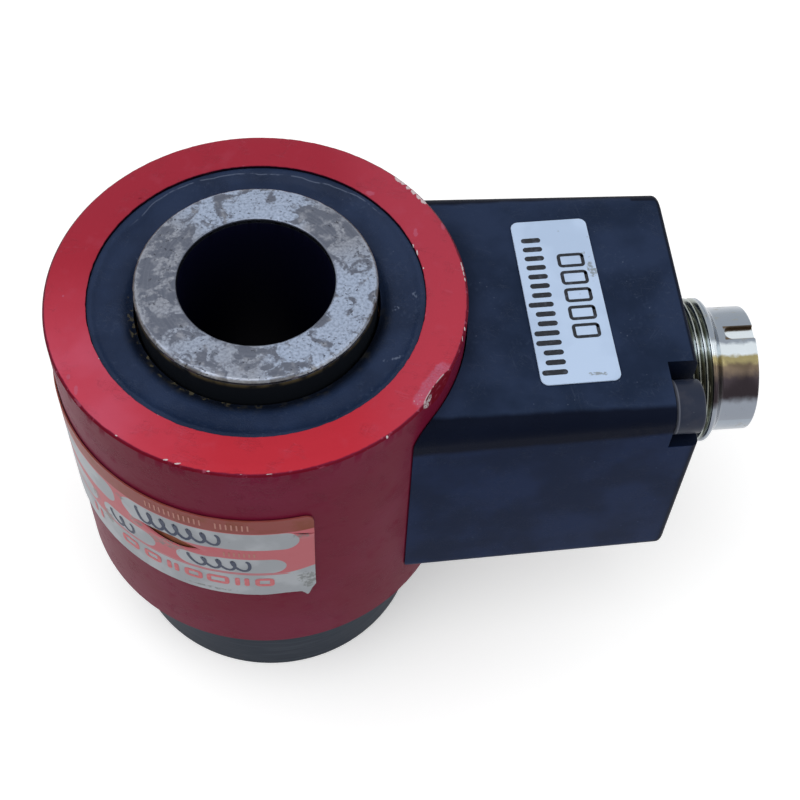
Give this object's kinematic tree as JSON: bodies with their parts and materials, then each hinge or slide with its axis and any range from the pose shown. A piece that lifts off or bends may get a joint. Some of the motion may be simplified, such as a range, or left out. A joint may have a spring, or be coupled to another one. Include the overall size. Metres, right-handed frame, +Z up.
{
  "type": "force sensor",
  "caption": "Ring-shaped strain-gauge force sensor with a through bore, a round housing, a square side box and a round plug connector.",
  "frame": {"origin": "under the middle of the whole sensor, on the plane of its foot face", "axes": "+Z up along the bore axis towards the load ring, +X from the bore towards the connector, +Y across; the bore axis stands at x = -16.0 mm"},
  "size_m": [0.0742, 0.0422, 0.0532],
  "materials": {
    "red_coating": "satin red coating, scraped and nicked at its top edge",
    "worn_steel": "turned steel, mottled and pitted on the load face, dark satin on the foot",
    "black_screw_steel": "blackened cap screw, rubbed at its edges",
    "black_moulding": "black satin moulding with dust and light scratches",
    "insulator_black": "smooth black moulding",
    "sealing_compound": "cast black compound, slightly glossy and uneven",
    "seal_rubber": "matt black rubber",
    "gasket_grey": "thin grey-green seal",
    "fibre_washer": "plain fibre",
    "nickel_plating": "bright nickel plating, slightly yellowed",
    "contact_gold": "gilded contacts",
    "board_green": "glass-fibre board",
    "resistor_tan": "lacquered",
    "gauge_foil": "amber film with a foil grid",
    "lead_enamel": "enamelled wire",
    "wire_sleeve": "plain insulation",
    "cable_sheath": "plain sheath",
    "label_film": null
  },
  "bodies": {
    "root": {"outer_housing": "red_coating", "measuring_body": "worn_steel", "top_seal": "sealing_compound", "seal_support_ring": "fibre_washer", "lower_o_ring": "seal_rubber", "strain_gauge_1": "gauge_foil", "strain_gauge_2": "gauge_foil", "strain_gauge_3": "gauge_foil", "strain_gauge_4": "gauge_foil", "gauge_lead_1": "lead_enamel", "gauge_lead_2": "lead_enamel", "gauge_lead_3": "lead_enamel", "gauge_lead_4": "lead_enamel", "gauge_ring_board": "board_green", "wire_grommet": "seal_rubber", "bridge_cable": "cable_sheath", "connector_box": "black_moulding", "saddle_gasket": "gasket_grey", "box_screw_1": "black_screw_steel", "box_screw_2": "black_screw_steel", "terminal_board": "board_green", "trim_resistor_1": "resistor_tan", "trim_resistor_2": "resistor_tan", "trim_resistor_3": "resistor_tan", "connector_shell": "nickel_plating", "connector_insulator": "insulator_black", "connector_gasket": "seal_rubber", "connector_nut": "nickel_plating", "contact_pin_1": "contact_gold", "contact_pin_2": "contact_gold", "contact_pin_3": "contact_gold", "contact_pin_4": "contact_gold", "contact_pin_5": "contact_gold", "contact_pin_6": "contact_gold", "connector_wire_1": "wire_sleeve", "connector_wire_2": "wire_sleeve", "connector_wire_3": "wire_sleeve", "connector_wire_4": "wire_sleeve", "connector_wire_5": "wire_sleeve", "connector_wire_6": "wire_sleeve", "serial_label": "label_film", "rating_label": "label_film"}
  },
  "joints": []
}
